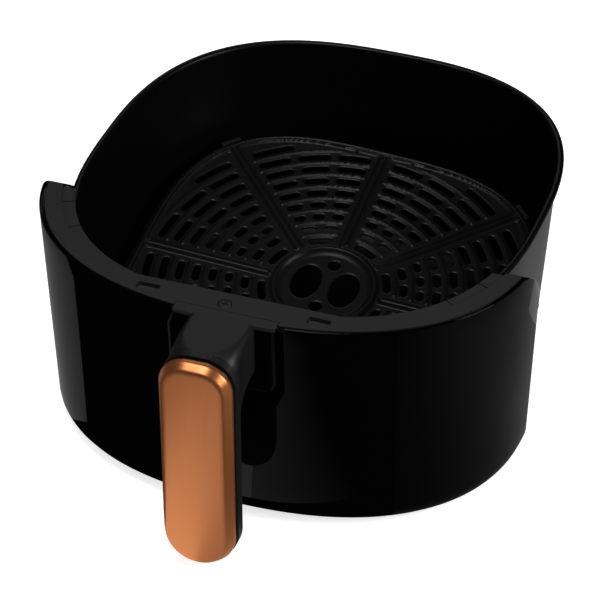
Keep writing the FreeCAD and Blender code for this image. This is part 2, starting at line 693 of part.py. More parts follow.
failed = []
for part in parts:
    if "Invalid" in part.State or "Error" in part.State:
        failed.append(part.Label + " state")
    elif part.Shape.isNull() or not part.Shape.isValid():
        failed.append(part.Label + " shape")
if failed:
    raise RuntimeError("pieces not valid: " + ", ".join(failed))

os.makedirs("parts", exist_ok=True)
for part in parts:
    part.Shape.exportStep("parts/%s.step" % part.Label)
    print(part.Label, round(part.Shape.Volume), len(part.Shape.Solids), part.Shape.BoundBox)
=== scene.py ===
import math

import bmesh
import bpy
import numpy as np
from mathutils import Matrix, Vector


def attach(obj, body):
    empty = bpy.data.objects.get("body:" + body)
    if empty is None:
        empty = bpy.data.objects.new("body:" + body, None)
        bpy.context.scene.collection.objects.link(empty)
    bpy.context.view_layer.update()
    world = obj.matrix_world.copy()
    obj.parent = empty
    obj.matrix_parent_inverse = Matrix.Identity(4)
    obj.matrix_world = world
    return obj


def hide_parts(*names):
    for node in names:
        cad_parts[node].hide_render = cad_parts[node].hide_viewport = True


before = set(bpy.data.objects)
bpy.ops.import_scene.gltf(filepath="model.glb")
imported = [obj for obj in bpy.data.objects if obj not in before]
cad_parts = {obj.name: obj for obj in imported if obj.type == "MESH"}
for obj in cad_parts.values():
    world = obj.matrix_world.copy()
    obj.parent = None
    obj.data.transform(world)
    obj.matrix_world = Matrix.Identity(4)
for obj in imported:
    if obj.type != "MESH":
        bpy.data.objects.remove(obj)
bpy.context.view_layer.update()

MM = 0.001
scene = bpy.context.scene
scene.view_settings.view_transform = "Standard"

# ------------------------------------------------------------------ sizes, in millimetres
# rounded squares: half width, half depth and exponent; drafts are widths per height
PAN_X, PAN_Y, PAN_N = 129.4, 136.2, 2.66
PAN_TOP, PAN_DRAFT, PAN_WALL, PAN_ROUND = 129.6, 0.073, 1.5, 20.0
BEAD_TOP, BEAD_HIGH = 131.4, 4.4
PAN_COLUMNS = 160
PAN_LEVELS = (45.0, 75.0, 105.0, 124.0)

SHELL_X, SHELL_Y, SHELL_N, SHELL_MID = 143.0, 114.2, 2.32, -40.1
SHELL_TOP, SHELL_DRAFT, SHELL_ROUND, SHELL_SKIN = 137.6, 0.04, 13.0, 2.3
SHELL_END, SHELL_CORNER, CORNER_N, COLLAR_END = -38.0, 32.0, 1.45, -65.5
FOOT_WIDE, FOOT_STEPS, END_STEPS = 4.0, 7, 14
LIP_ROUND, LIP_STEPS, PLAIN_STEPS = 0.6, 4, 4
MOUNT_WIDE, MOUNT_HIGH, MOUNT_ROUND, GAP = 58.0, 44.0, 7.0, 0.4
SLOT_Z = SHELL_TOP - MOUNT_HIGH - GAP
SHELL_LEVELS = (24.0, 36.0, 48.0, 60.0, 72.0, 84.0, SLOT_Z)
SLOT_ROW = FOOT_STEPS + 1 + len(SHELL_LEVELS)

GRIP_WIDE, GRIP_TOP, GRIP_LOW, GRIP_CORNER = 41.9, 139.0, 3.0, 16.5
GRIP_FRONT = -191.4

PLATE_HALF, PLATE_N, PITCH, FIRST_ROW = 117.0, 3.05, 9.8, 4.23
PLATE_AT, PLATE_PITCH, PLATE_ROLL = (2.6, 0.0, 51.4), 11.4, 3.0
PLATE_FACE, PLATE_UNDER, PLATE_FOOT = 1.4, -0.1, -3.9
SECTORS, SLOT_ROWS, SLOT_WIDE = 8, 9, 4.4
SECTOR = 2 * math.pi / SECTORS
HUB_R, HOLE_WIDE, HOLE_LONG, HOLE_X = 29.5, 8.7, 13.4, 11.6
SMALL_R, SMALL_Y, HUB_MID, BORDER_IN = 3.8, 16.6, 1.5, 6.0
RIM_WIDE, RIM_STEPS, RIM_COLUMNS = 6.0, 24, 360
# pressed ridges of the plate: half width and height
ARC_RIDGE, OUTLINE_RIDGE, RIM_RIDGE, HUB_RIDGE = (1.2, 0.9), (1.3, 1.25), (2.4, 0.9), (3.0, 2.1)
GRID_STEP = 0.78


# ------------------------------------------------------------------ mesh helpers
def squircle(half_x, half_y, power, mid_y, turn):
    """Point of a rounded square at one angle."""
    cos_t, sin_t = math.cos(turn), math.sin(turn)
    reach = (abs(cos_t) ** power + abs(sin_t) ** power) ** (-1.0 / power)
    return half_x * reach * cos_t, mid_y + half_y * reach * sin_t


def new_object(name, verts, faces, sharp):
    """Smooth-shaded object from points in millimetres, creased above the angle sharp."""
    mesh = bpy.data.meshes.new(name)
    mesh.from_pydata([Vector(v) * MM for v in verts], [], faces)
    mesh.update()
    bm = bmesh.new()
    bm.from_mesh(mesh)
    bmesh.ops.remove_doubles(bm, verts=bm.verts, dist=0.02 * MM)
    bmesh.ops.recalc_face_normals(bm, faces=bm.faces)
    bm.to_mesh(mesh)
    bm.free()
    mesh.polygons.foreach_set("use_smooth", [True] * len(mesh.polygons))
    mesh.set_sharp_from_angle(angle=math.radians(sharp))
    obj = bpy.data.objects.new(name, mesh)
    scene.collection.objects.link(obj)
    return obj


def stack(rings, capped=False):
    """Quads between closed rings of equal length, with both ends filled if capped."""
    count = len(rings[0])
    verts = [point for ring in rings for point in ring]
    faces = []
    for level in range(len(rings) - 1):
        for step in range(count):
            a = level * count + step
            b = level * count + (step + 1) % count
            faces.append((a, b, b + count, a + count))
    if capped:
        last = (len(rings) - 1) * count
        faces.append(tuple(reversed(range(count))))
        faces.append(tuple(range(last, last + count)))
    return verts, faces


def round_edges(obj, width):
    """Weld the node's split corners and round every edge sharper than 40 degrees."""
    weld = obj.modifiers.new("weld", "WELD")
    weld.merge_threshold = 0.01 * MM
    mod = obj.modifiers.new("edge_round", "BEVEL")
    mod.width = width * MM
    mod.segments = 3
    mod.limit_method = "ANGLE"
    mod.angle_limit = math.radians(40)
    mod.harden_normals = False


# ------------------------------------------------------------------ pan
def pan_profile():
    """(inset from the wall line, z) from the floor's outer edge, over the bead, back inside."""
    points = []
    steps = 8
    for step in range(steps + 1):
        turn = 0.5 * math.pi * step / steps
        z = PAN_ROUND * (1 - math.cos(turn))
        points.append((PAN_ROUND * (1 - math.sin(turn)) + PAN_DRAFT * (PAN_TOP - z), z))
    for z in (*PAN_LEVELS, BEAD_TOP - BEAD_HIGH - 0.4):
        points.append((PAN_DRAFT * (PAN_TOP - z), z))
    points += bead_profile()
    points.append((PAN_WALL + 0.1, BEAD_TOP - 2.9))
    for z in reversed(PAN_LEVELS):
        points.append((PAN_WALL + PAN_DRAFT * (PAN_TOP - z), z))
    for step in range(steps, -1, -1):
        turn = 0.5 * math.pi * step / steps
        radius = PAN_ROUND - PAN_WALL
        z = PAN_WALL + radius * (1 - math.cos(turn))
        points.append((PAN_WALL + radius * (1 - math.sin(turn)) + PAN_DRAFT * (PAN_TOP - z), z))
    return points


def bead_profile():
    """(inset, z) round the rolled bead at the pan's rim."""
    radius, mid, across = 0.5 * BEAD_HIGH, -0.45, 2.3
    steps = 12
    points = []
    for step in range(steps + 1):
        turn = math.pi * (step / steps * 1.32 - 0.5)
        points.append((mid - across * math.cos(turn), BEAD_TOP - radius + radius * math.sin(turn)))
    return points


def build_pan():
    count = PAN_COLUMNS
    rings = []
    for inset, z in pan_profile():
        rings.append([(*squircle(PAN_X - inset, PAN_Y - inset, PAN_N, 0.0,
                                 2 * math.pi * k / count), z) for k in range(count)])
    verts, faces = stack(rings)
    # the floor, outside and inside, closes in with smaller and smaller rings
    for ring, z, base in ((rings[0], 0.0, 0), (rings[-1], PAN_WALL, (len(rings) - 1) * count)):
        previous = list(range(base, base + count))
        for scale in (0.8, 0.55, 0.3, 0.1):
            first = len(verts)
            verts += [(x * scale, y * scale, z) for x, y, _ in ring]
            for k in range(count):
                n = (k + 1) % count
                faces.append((previous[k], previous[n], first + n, first + k))
            previous = list(range(first, first + count))
        faces.append(tuple(previous))
    return new_object("pan_skin", verts, faces, 60)


# ------------------------------------------------------------------ front shell
def shell_at(turn, inset, z):
    """Point of the shell's outline, moved inward by inset."""
    x, y = squircle(SHELL_X - inset, SHELL_Y - inset, SHELL_N, SHELL_MID, turn)
    return x, y, z


def wall_at(turn, inset, z):
    """Point on the shell's drafted wall, moved inward by inset."""
    return shell_at(turn, inset + SHELL_DRAFT * (SHELL_TOP - z), z)


def turn_for_y(y, side):
    """Angle on the shell's plan where it passes a given y; a y behind its middle gives the middle."""
    low, high = (1.5 * math.pi, 2 * math.pi) if side > 0 else (math.pi, 1.5 * math.pi)
    for _ in range(50):
        mid = 0.5 * (low + high)
        if (shell_at(mid, 0, 0)[1] < y) == (side > 0):
            low = mid
        else:
            high = mid
    return 0.5 * (low + high)


def turn_for_x(x):
    """Angle on the shell's plan where its front passes a given x."""
    low, high = math.pi, 2 * math.pi
    for _ in range(50):
        mid = 0.5 * (low + high)
        if shell_at(mid, 0, 0)[0] < x:
            low = mid
        else:
            high = mid
    return 0.5 * (low + high)


def pan_side_x(y, z):
    """X where the shell's end flange meets the pan, for a given y and height."""
    if z > BEAD_TOP - 5.4:
        grow = 3.6
    else:
        grow = 1.0 - PAN_DRAFT * (PAN_TOP - z)
        if z < PAN_ROUND:
            drop = 1 - z / PAN_ROUND
            grow -= PAN_ROUND * (1 - math.sqrt(max(0.0, 1 - drop * drop)))
    half_x, half_y = PAN_X + grow, PAN_Y + grow
    return half_x * max(0.0, 1 - abs(y / half_y) ** PAN_N) ** (1 / PAN_N)


def end_columns():
    """(y, top) of the columns at a rounded back end, from its low edge to full height."""
    columns = []
    for step in range(END_STEPS + 1):
        phi = 0.5 * math.pi * step / END_STEPS
        columns.append((SHELL_END - SHELL_CORNER * (1 - math.cos(phi) ** (2 / CORNER_N)),
                        SHELL_TOP - SHELL_CORNER * (1 - math.sin(phi) ** (2 / CORNER_N))))
    return columns


def shell_columns(slot_left, slot_right):
    """(turn, top) of every upright column of the shell, from its left end to its right end."""
    ends = end_columns()
    columns = [(turn_for_y(y, -1), top) for y, top in ends]
    left = columns[-1][0]
    right = turn_for_y(ends[-1][0], 1)
    for start, stop, count in ((left, slot_left, 34), (slot_left, slot_right, 40),
                               (slot_right, right, 34)):
        for step in range(1, count + 1):
            columns.append((start + (stop - start) * step / count, SHELL_TOP))
    columns.pop()
    return columns + [(turn_for_y(y, 1), top) for y, top in reversed(ends)]


def column_points(turn, top):
    """Points up one column: foot, rounded bottom edge, wall and rounded lip."""
    line = [wall_at(turn, SHELL_ROUND + FOOT_WIDE, 0.0)]
    for step in range(FOOT_STEPS + 1):
        phi = 0.5 * math.pi * step / FOOT_STEPS
        line.append(wall_at(turn, SHELL_ROUND * (1 - math.sin(phi)),
                            SHELL_ROUND * (1 - math.cos(phi))))
    for z in SHELL_LEVELS:
        line.append(wall_at(turn, 0.0, z))
    for step in range(1, PLAIN_STEPS + 1):
        line.append(wall_at(turn, 0.0, SLOT_Z + (top - LIP_ROUND - SLOT_Z) * step / PLAIN_STEPS))
    for step in range(1, LIP_STEPS + 1):
        phi = 0.5 * math.pi * step / LIP_STEPS
        line.append(wall_at(turn, LIP_ROUND * (1 - math.cos(phi)),
                            top - LIP_ROUND * (1 - math.sin(phi))))
    return line


def slot_floor(x, half):
    """Height of the mount slot's edge at x, with its two rounded lower corners."""
    reach = MOUNT_ROUND + GAP
    away = max(half - abs(x), 0)
    if away >= reach:
        return SLOT_Z
    return SLOT_Z + reach - math.sqrt(max(0.0, reach ** 2 - (reach - away) ** 2))


def end_flange(border, verts, faces, flip):
    """Faces that close one back end of the shell, from its border in to the pan."""
    inner = []
    for vert in border:
        x, y, z = verts[vert]
        sign = -1 if x < 0 else 1
        inner.append(len(verts))
        verts.append((sign * min(abs(x) - 0.5, pan_side_x(y, z)), y, z))
    for k in range(len(border) - 1):
        face = (border[k], border[k + 1], inner[k + 1], inner[k])
        faces.append(face[::-1] if flip else face)


def build_shell():
    half = 0.5 * MOUNT_WIDE + GAP
    slot_left, slot_right = turn_for_x(-half), turn_for_x(half)
    columns = shell_columns(slot_left, slot_right)
    verts, faces = [], []
    for turn, top in columns:
        line = column_points(turn, top)
        if slot_left - 1e-6 <= turn <= slot_right + 1e-6:
            z = slot_floor(line[SLOT_ROW][0], half)
            line[SLOT_ROW] = wall_at(turn, 0.0, z)
        verts += line
    rows = len(verts) // len(columns)
    for col in range(len(columns) - 1):
        mid = 0.5 * (columns[col][0] + columns[col + 1][0])
        top_row = SLOT_ROW if slot_left < mid < slot_right else rows - 1
        for row in range(top_row):
            at = col * rows + row
            faces.append((at, at + rows, at + rows + 1, at + 1))
    # each border goes up the last column, then along the rounded top as far as the collar
    last = len(columns) - 1
    for end, inward in ((0, 1), (last, -1)):
        border = [end * rows + row for row in range(1, rows)]
        for step, (y, _) in enumerate(end_columns()):
            if step and y > COLLAR_END + 0.3:
                border.append((end + inward * step) * rows + rows - 1)
        end_flange(border, verts, faces, end == last)
    obj = new_object("front_shell_skin", verts, faces, 50)
    solid = obj.modifiers.new("wall", "SOLIDIFY")
    solid.thickness = SHELL_SKIN * MM
    solid.offset = -1
    return obj


# ------------------------------------------------------------------ grip cover and ring
def grip_ring(inset, y, count=22):
    """Grip outline at one depth: flat top with round corners, straight sides, round foot."""
    half = 0.5 * GRIP_WIDE - inset
    top = GRIP_TOP - inset
    corner = max(0.8, GRIP_CORNER - inset)
    foot = GRIP_LOW + 0.5 * GRIP_WIDE
    points = []
    for step in range(count + 1):
        turn = math.pi + math.pi * step / count
        points.append((half * math.cos(turn), y, foot + half * math.sin(turn)))
    for step in range(1, 12):
        points.append((half, y, foot + (top - corner - foot) * step / 12))
    for step in range(count // 2 + 1):
        turn = 0.5 * math.pi * step / (count // 2)
        points.append((half - corner + corner * math.cos(turn), y,
                       top - corner + corner * math.sin(turn)))
    for step in range(1, 6):
        points.append((half - corner - 2 * (half - corner) * step / 6, y, top))
    for step in range(count // 2 + 1):
        turn = 0.5 * math.pi + 0.5 * math.pi * step / (count // 2)
        points.append((-half + corner + corner * math.cos(turn), y,
                       top - corner + corner * math.sin(turn)))
    for step in range(11, 0, -1):
        points.append((-half, y, foot + (top - corner - foot) * step / 12))
    return points


def build_slab(name, profile):
    """profile: (inset, y) pairs from back to front; both ends are closed."""
    verts, faces = stack([grip_ring(inset, y) for inset, y in profile], capped=True)
    return new_object(name, verts, faces, 60)


def build_cover():
    back = GRIP_FRONT - 2.1
    profile = [(1.2, back), (0.7, back - 0.2), (0.5, back - 0.6), (0.5, back - 2.2),
               (0.56, back - 2.7), (0.74, back - 3.2), (1.0, back - 3.7), (1.5, back - 4.6),
               (2.0, back - 5.5), (2.5, back - 6.4), (2.8, back - 6.9), (3.1, back - 7.3),
               (3.5, back - 7.65), (4.0, back - 7.85), (4.7, back - 7.97), (6.5, back - 8.0)]
    return build_slab("grip_cover_skin", profile)


def build_trim_ring():
    start = GRIP_FRONT - 0.3
    return build_slab("grip_trim_ring_skin", [
        (1.9, start), (1.4, start - 0.1), (1.25, start - 0.45), (1.25, start - 1.05),
        (1.4, start - 1.4), (1.9, start - 1.5)])


# ------------------------------------------------------------------ crisper plate
def arc_spans(row, sector):
    """Radius of one row of slots and the angles between which each slot runs."""
    radius = (FIRST_ROW + row - 0.5) * PITCH
    start, stop = sector * SECTOR, (sector + 1) * SECTOR
    margin = 0.72 * PITCH / radius
    gap = 0.42 * PITCH / radius
    count = min(row + 1, 3)
    step = (stop - start - 2 * margin - gap * (count - 1)) / count
    if row < SLOT_ROWS - 1:
        firsts = [start + margin + index * (step + gap) for index in range(count)]
        return radius, [(first, first + step) for first in firsts]
    # the last row has one slot in each sector, next to the plate's corner
    corner, sign = (stop, -1) if sector % 2 == 0 else (start, 1)
    ends = (corner + sign * margin, corner + sign * (margin + 1.15 * step))
    return radius, [tuple(sorted(ends))]


def plate_reach(angle):
    """Distance from the plate's middle to its edge at one angle."""
    power_sum = abs(math.cos(angle)) ** PLATE_N + abs(math.sin(angle)) ** PLATE_N
    return PLATE_HALF * power_sum ** (-1 / PLATE_N)


def arc_distance(px, py, radius, start, stop):
    """Distance to an arc's centre line, and the part beyond its ends counted as round caps."""
    mid = 0.5 * (start + stop)
    angle = np.arctan2(py, px)
    offset = (angle - mid + math.pi) % (2 * math.pi) - math.pi
    half = 0.5 * (stop - start)
    near = np.abs(np.hypot(px, py) - radius)
    ends = np.full_like(px, 1e9)
    for a in (start, stop):
        ends = np.minimum(ends, np.hypot(px - radius * math.cos(a), py - radius * math.sin(a)))
    return np.where(np.abs(offset) <= half, near, ends)


def cut_distance(px, py):
    """Distance from points to the nearest hole or slot of the plate, negative inside one."""
    cut = np.full_like(px, 1e9)
    for x in (-HOLE_X, HOLE_X):
        scaled = np.hypot((px - x) / HOLE_WIDE, (py - HUB_MID) / HOLE_LONG)
        cut = np.minimum(cut, (scaled - 1) * 0.85 * 0.5 * (HOLE_WIDE + HOLE_LONG))
    for y in (HUB_MID - SMALL_Y, HUB_MID + SMALL_Y):
        cut = np.minimum(cut, np.hypot(px, py - y) - SMALL_R)
    for sector in range(SECTORS):
        for row in range(SLOT_ROWS):
            radius, spans = arc_spans(row, sector)
            for start, stop in spans:
                limit = min(plate_reach(a) for a in (start, 0.5 * (start + stop), stop))
                if radius + 0.5 * SLOT_WIDE < limit - BORDER_IN - 1.6:
                    trim = 0.5 * SLOT_WIDE / radius
                    cut = np.minimum(cut, arc_distance(px, py, radius, start + trim, stop - trim)
                                     - 0.5 * SLOT_WIDE)
    return cut


def edge_distance(px, py):
    """Distance in from the plate's outer edge, along the line to its middle."""
    reach = (np.abs(px) ** PLATE_N + np.abs(py) ** PLATE_N) ** (1 / PLATE_N)
    return (PLATE_HALF - reach) * np.hypot(px, py) / np.maximum(reach, 1e-6)


def outline_distance(px, py, edge):
    """Distance to the pressed line along both sides of each spoke and round the border."""
    fold = np.arctan2(py, px) % SECTOR
    fold = np.minimum(fold, SECTOR - fold)
    radius = np.hypot(px, py)
    along, across = radius * np.cos(fold), radius * np.sin(fold)
    from_spoke = np.hypot(across, np.maximum(HUB_R + 5.5 - along, 0)) - 1.9
    from_border = edge - BORDER_IN
    # the two lines run into each other with a round corner
    blend = 3.0
    mix = np.clip(0.5 + 0.5 * (from_border - from_spoke) / blend, 0, 1)
    return from_border * (1 - mix) + from_spoke * mix - blend * mix * (1 - mix)


def pressed_height(px, py, edge):
    """Height of the plate's pressed ridges and hub over its flat."""
    height = np.zeros_like(px)

    def raise_by(distance, ridge, fade=1.0):
        half_width, rise = ridge
        t = np.clip(1 - np.abs(distance) / half_width, 0, 1)
        np.maximum(height, rise * fade * (t * t * (3 - 2 * t)), out=height)

    fade = np.clip((edge - BORDER_IN - 1.8) / 3.0, 0, 1)
    for sector in range(SECTORS):
        for row in range(SLOT_ROWS - 1):
            radius = (FIRST_ROW + row) * PITCH
            margin = 0.62 * PITCH / radius
            start, stop = sector * SECTOR + margin, (sector + 1) * SECTOR - margin
            raise_by(arc_distance(px, py, radius, start, stop), ARC_RIDGE, fade)
    raise_by(outline_distance(px, py, edge), OUTLINE_RIDGE)
    raise_by(edge - 0.6 * RIM_WIDE, RIM_RIDGE)
    from_middle = np.hypot(px, py)
    raise_by(from_middle - HUB_R, HUB_RIDGE)
    return height - 0.7 * np.clip((HUB_R - 3.0 - from_middle) / 1.5, 0, 1)


def plate_top(px, py):
    """Distance in from the outer edge and height of the plate's top at points."""
    edge = edge_distance(px, py)
    roll_in = np.clip(1 - cut_distance(px, py) / 1.1, 0, 1)
    roll_out = np.clip(1 - edge / 4.4, 0, 1)
    top = PLATE_FACE + pressed_height(px, py, edge)
    return edge, top - 0.35 * roll_in ** 2 - 2.2 * roll_out ** 2


def rim_rings():
    """Rolled rim that follows the plate's edge, from the lip's foot to the border line."""
    angles = np.linspace(0, 2 * math.pi, RIM_COLUMNS + 1)[:-1]
    reach = np.array([plate_reach(a) for a in angles])
    rings = [[(r * math.cos(a), r * math.sin(a), PLATE_FOOT) for a, r in zip(angles, reach)]]
    for step in range(RIM_STEPS + 1):
        part = step / RIM_STEPS
        radius = reach - RIM_WIDE * part
        x, y = radius * np.cos(angles), radius * np.sin(angles)
        z = plate_top(x, y)[1] + 0.2 - 0.3 * part ** 4
        rings.append(list(zip(x, y, z)))
    return rings


def cut_grid(axis, keep):
    """Square grid trimmed where keep is negative: points, faces and the trimmed edges."""
    points, faces, trimmed, index = [], [], [], {}

    def vertex(key, point):
        if key not in index:
            index[key] = len(points)
            points.append(point)
        return index[key]

    corners = ((0, 0), (1, 0), (1, 1), (0, 1))
    for i in range(len(axis) - 1):
        for j in range(len(axis) - 1):
            values = [keep[i + di, j + dj] for di, dj in corners]
            if max(values) <= 0:
                continue
            polygon, leaving, entering = [], [], []
            for k, (di, dj) in enumerate(corners):
                ei, ej = corners[(k + 1) % 4]
                v0, v1 = values[k], values[(k + 1) % 4]
                a, b = (i + di, j + dj), (i + ei, j + ej)
                if v0 > 0:
                    polygon.append(vertex(a, (axis[a[0]], axis[a[1]])))
                if (v0 > 0) != (v1 > 0):
                    t = min(0.97, max(0.03, v0 / (v0 - v1)))
                    point = (axis[a[0]] + (axis[b[0]] - axis[a[0]]) * t,
                             axis[a[1]] + (axis[b[1]] - axis[a[1]]) * t)
                    crossing = vertex((min(a, b), max(a, b)), point)
                    polygon.append(crossing)
                    (leaving if v0 > 0 else entering).append(crossing)
            if len(polygon) >= 3:
                faces.append(tuple(polygon))
            if len(leaving) == 1:
                trimmed.append((leaving[0], entering[0]))
    return np.array(points), faces, trimmed


def build_plate():
    count = int(math.ceil(2 * (PLATE_HALF + 1) / GRID_STEP))
    axis = (np.arange(count + 1) - count / 2) * GRID_STEP
    gx, gy = np.meshgrid(axis, axis, indexing="ij")
    points, faces, trimmed = cut_grid(axis, np.minimum(cut_distance(gx, gy), edge_distance(gx, gy)))
    edge, top = plate_top(points[:, 0], points[:, 1])
    verts = [(x, y, z) for (x, y), z in zip(points, top)]
    # a wall hangs from every trimmed edge: the lip outside, the sheet's thickness in the holes
    below = {}
    for a, b in trimmed:
        for v in (a, b):
            if v not in below:
                below[v] = len(verts)
                verts.append((*points[v], PLATE_FOOT if edge[v] < 1.0 else PLATE_UNDER))
        faces.append((b, a, below[a], below[b]))
    rim_verts, rim_faces = stack(rim_rings())
    start = len(verts)
    faces += [tuple(start + v for v in face) for face in rim_faces]
    return new_object("crisper_plate_skin", verts + rim_verts, faces, 50)


def plate_matrix():
    """Where the plate sits in the pan, slightly askew."""
    turn = (Matrix.Rotation(math.radians(PLATE_ROLL), 4, "Y")
            @ Matrix.Rotation(math.radians(PLATE_PITCH), 4, "X"))
    return Matrix.Translation(Vector(PLATE_AT) * MM) @ turn


# ------------------------------------------------------------------ materials
def material(name, color, rough, specular=0.5, metallic=0.0, bump=0.0, bump_scale=800.0,
             rough_spread=0.08, tint=0.15, stretch=(1, 1, 1)):
    """Principled material with noise in its colour, roughness and surface."""
    mat = bpy.data.materials.new(name)
    mat.use_nodes = True
    nodes, links = mat.node_tree.nodes, mat.node_tree.links
    bsdf = nodes["Principled BSDF"]
    coords = nodes.new("ShaderNodeTexCoord")
    mapping = nodes.new("ShaderNodeMapping")
    mapping.inputs["Scale"].default_value = stretch
    links.new(coords.outputs["Object"], mapping.inputs["Vector"])

    def noise(scale, detail):
        node = nodes.new("ShaderNodeTexNoise")
        node.inputs["Scale"].default_value = scale
        node.inputs["Detail"].default_value = detail
        links.new(mapping.outputs["Vector"], node.inputs["Vector"])
        return node

    broad = noise(30.0, 4.0)
    fine = noise(bump_scale, 3.0)
    ramp = nodes.new("ShaderNodeMix")
    ramp.data_type = "RGBA"
    ramp.inputs["A"].default_value = (*[c * (1 - tint) for c in color], 1)
    ramp.inputs["B"].default_value = (*[min(1, c * (1 + tint)) for c in color], 1)
    links.new(broad.outputs["Fac"], ramp.inputs["Factor"])
    links.new(ramp.outputs["Result"], bsdf.inputs["Base Color"])
    spread = nodes.new("ShaderNodeMapRange")
    spread.inputs["To Min"].default_value = max(0.01, rough - rough_spread)
    spread.inputs["To Max"].default_value = min(1, rough + rough_spread)
    links.new(fine.outputs["Fac"], spread.inputs["Value"])
    links.new(spread.outputs["Result"], bsdf.inputs["Roughness"])
    if bump:
        node = nodes.new("ShaderNodeBump")
        node.inputs["Strength"].default_value = bump
        node.inputs["Distance"].default_value = 0.2 * MM
        links.new(fine.outputs["Fac"], node.inputs["Height"])
        links.new(node.outputs["Normal"], bsdf.inputs["Normal"])
    bsdf.inputs["Metallic"].default_value = metallic
    bsdf.inputs["IOR"].default_value = 1.5
    bsdf.inputs["Specular IOR Level"].default_value = specular
    return mat


TRIM_BLACK = (0.0145, 0.0145, 0.0152)
MATERIALS = {
    "pan": material("nonstick_black", (0.0011, 0.0011, 0.0012), 0.38, 0.27, bump=0.06,
                    bump_scale=1500.0),
    "shell": material("gloss_black", (0.0007, 0.0007, 0.0008), 0.045, 0.13, rough_spread=0.015,
                      bump=0.004, bump_scale=60.0),
    "collar": material("matt_trim_black", TRIM_BLACK, 0.55, 0.35, bump=0.25, bump_scale=2600.0),
    "mount": material("mount_trim_black", TRIM_BLACK, 0.55, 0.35, bump=0.25, bump_scale=2600.0),
    "handle": material("handle_satin_black", (0.0095, 0.0095, 0.0099), 0.40, 0.35, bump=0.16,
                       bump_scale=2200.0),
    "ring": material("trim_gloss_black", (0.003, 0.003, 0.003), 0.12, 0.4, bump=0.02),
    "copper": material("copper_satin", (0.68, 0.232, 0.083), 0.33, 0.5, metallic=0.85, bump=0.05,
                       bump_scale=900.0, rough_spread=0.05, tint=0.05, stretch=(1, 1, 0.06)),
    "plate": material("plate_nonstick", (0.0055, 0.0055, 0.0058), 0.36, 0.2, bump=0.08,
                      bump_scale=1700.0),
    "silicone": material("silicone_black", (0.006, 0.006, 0.0063), 0.6, 0.2, bump=0.1,
                         bump_scale=1200.0),
    "steel": material("zinc_steel", (0.55, 0.55, 0.56), 0.35, metallic=1.0, bump=0.08,
                      bump_scale=500.0, stretch=(1, 1, 8)),
    "dark_steel": material("blackened_steel", (0.03, 0.03, 0.032), 0.4, 0.5, bump=0.1,
                           bump_scale=900.0),
}


def add_gloss_below(key, height, soft):
    """Below height (mm) the material called key changes over to the shell's gloss black."""
    nodes, links = MATERIALS[key].node_tree.nodes, MATERIALS[key].node_tree.links
    gloss = MATERIALS["shell"].node_tree.nodes["Principled BSDF"]
    lower = nodes.new("ShaderNodeBsdfPrincipled")
    for label in ("Specular IOR Level", "IOR"):
        lower.inputs[label].default_value = gloss.inputs[label].default_value
    lower.inputs["Base Color"].default_value = (0.0008, 0.0008, 0.0009, 1)
    lower.inputs["Roughness"].default_value = 0.06
    coords = nodes.new("ShaderNodeTexCoord")
    split = nodes.new("ShaderNodeSeparateXYZ")
    links.new(coords.outputs["Object"], split.inputs["Vector"])
    step = nodes.new("ShaderNodeMapRange")
    step.inputs["From Min"].default_value = (height - soft) * MM
    step.inputs["From Max"].default_value = (height + soft) * MM
    links.new(split.outputs["Z"], step.inputs["Value"])
    mix = nodes.new("ShaderNodeMixShader")
    links.new(step.outputs["Result"], mix.inputs["Fac"])
    links.new(lower.outputs["BSDF"], mix.inputs[1])
    links.new(nodes["Principled BSDF"].outputs["BSDF"], mix.inputs[2])
    links.new(mix.outputs["Shader"], nodes["Material Output"].inputs["Surface"])


add_gloss_below("mount", SHELL_TOP - 2.1, 0.8)


def finish_with(obj, key):
    """Give a piece one material everywhere and, if it is not a CAD node, its slot."""
    mat = MATERIALS[key]
    if obj.material_slots:
        for slot in obj.material_slots:
            slot.material = mat
    else:
        obj.data.materials.append(mat)


# ------------------------------------------------------------------ assemble
pan = build_pan()
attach(pan, "drawer")
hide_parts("pan")
finish_with(pan, "pan")

shell = build_shell()
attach(shell, "drawer")
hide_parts("front_shell")
finish_with(shell, "shell")

cover = build_cover()
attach(cover, "drawer")
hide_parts("grip_cover")
finish_with(cover, "copper")

ring = build_trim_ring()
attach(ring, "drawer")
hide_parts("grip_trim_ring")
finish_with(ring, "ring")

plate = build_plate()
plate.data.transform(plate_matrix())
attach(plate, "crisper")
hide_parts("crisper_plate")
finish_with(plate, "plate")

# CAD nodes kept as they are: material and width of the rounded edges in millimetres
NODE_LOOKS = {
    "collar": ("collar", 0.35), "handle_mount_plate": ("mount", 0.2),
    "handle_body": ("handle", 0.6), "pan_bracket": ("steel", 0), "bracket_rivets": ("steel", 0),
    "bracket_screws": ("steel", 0), "handle_core": ("steel", 0), "handle_screws": ("steel", 0),
    "collar_screw": ("collar", 0), "latch_striker_left": ("dark_steel", 0.2),
    "latch_striker_right": ("dark_steel", 0.2), "bumper_back_right": ("silicone", 0),
    "bumper_back_left": ("silicone", 0), "bumper_front_left": ("silicone", 0),
    "bumper_front_right": ("silicone", 0),
}
for name, (look, width) in NODE_LOOKS.items():
    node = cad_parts[name]
    finish_with(node, look)
    if width:
        round_edges(node, width)


